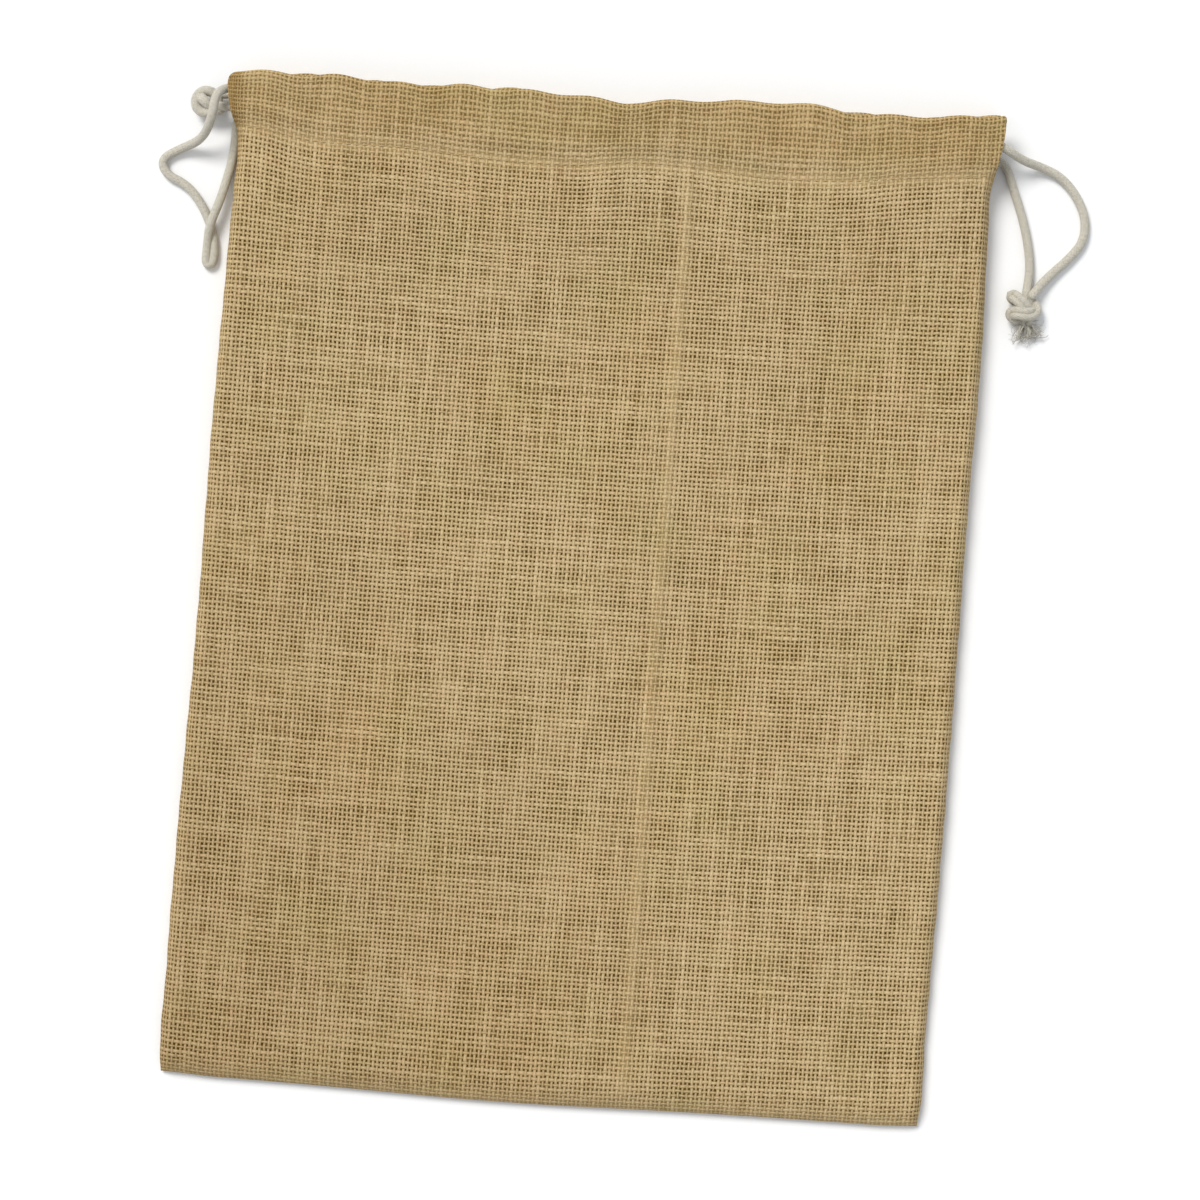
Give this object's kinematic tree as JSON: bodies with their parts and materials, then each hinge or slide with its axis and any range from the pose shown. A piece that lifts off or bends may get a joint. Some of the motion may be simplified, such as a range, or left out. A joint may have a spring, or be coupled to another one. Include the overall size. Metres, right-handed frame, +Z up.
{
  "type": "drawstring gift pouch",
  "caption": "Flat open-weave jute gift pouch with a stitched channel at the mouth and cotton drawcords, knotted, leaving it at both sides.",
  "frame": {"origin": "under the middle of the bag, without its cords, on the surface that it lies on", "axes": "+X across the bag to its right as seen from the front, +Y towards the mouth, +Z up away from the surface, out of the front panel"},
  "size_m": [0.3699, 0.4, 0.0162],
  "materials": {
    "jute_cloth": "open plain weave of natural jute, matt and slubby",
    "jute_thread": "matching sewing thread, matt",
    "overlock_thread": "matching overlock thread, matt",
    "cotton_cord": "round off-white cotton cord, matt, slightly fuzzy"
  },
  "bodies": {
    "bag": {"back_panel": "jute_cloth", "front_panel": "jute_cloth", "back_channel": "jute_cloth", "front_channel": "jute_cloth", "back_channel_stitching": "jute_thread", "front_channel_stitching": "jute_thread", "left_seam_allowance": "jute_cloth", "right_seam_allowance": "jute_cloth", "bottom_seam_allowance": "jute_cloth", "left_seam_stitching": "jute_thread", "right_seam_stitching": "jute_thread", "bottom_seam_stitching": "jute_thread", "left_overlock": "overlock_thread", "right_overlock": "overlock_thread", "bottom_overlock": "overlock_thread"},
    "left_mouth": {"left_channel_ends": "jute_cloth", "left_channel_end_stitching": "jute_thread", "left_bar_tack": "jute_thread", "left_loose_bight": "cotton_cord"},
    "right_mouth": {"right_channel_ends": "jute_cloth", "right_channel_end_stitching": "jute_thread", "right_bar_tack": "jute_thread"},
    "left_cord": {"left_drawcord": "cotton_cord", "left_knot": "cotton_cord"},
    "right_cord": {"right_drawcord": "cotton_cord", "right_outer_strand": "cotton_cord", "right_inner_strand": "cotton_cord", "right_knot": "cotton_cord", "right_frayed_ends": "cotton_cord"}
  },
  "joints": [
    {"name": "left_cord_pull", "type": "slide", "parent": "bag", "child": "left_cord", "axis": [-1, 0, 0], "range_m": [0, 0.075]},
    {"name": "right_mouth_gather", "type": "slide", "parent": "bag", "child": "right_mouth", "axis": [-1, 0, 0], "range_m": [0, 0.075], "deforming": ["back_channel", "front_channel", "back_channel_stitching", "front_channel_stitching"]},
    {"name": "right_cord_pull", "type": "slide", "parent": "bag", "child": "right_cord", "axis": [1, 0, 0], "range_m": [0, 0.125], "deforming": ["left_loose_bight"]},
    {"name": "left_mouth_gather", "type": "slide", "parent": "bag", "child": "left_mouth", "axis": [1, 0, 0], "range_m": [0, 0.075], "deforming": ["back_channel", "front_channel", "back_channel_stitching", "front_channel_stitching"]}
  ],
  "couplings": [
    {"joint": "right_mouth_gather", "follows": "left_cord_pull", "ratio": 1},
    {"joint": "left_mouth_gather", "follows": "right_cord_pull", "ratio": 0.6}
  ]
}
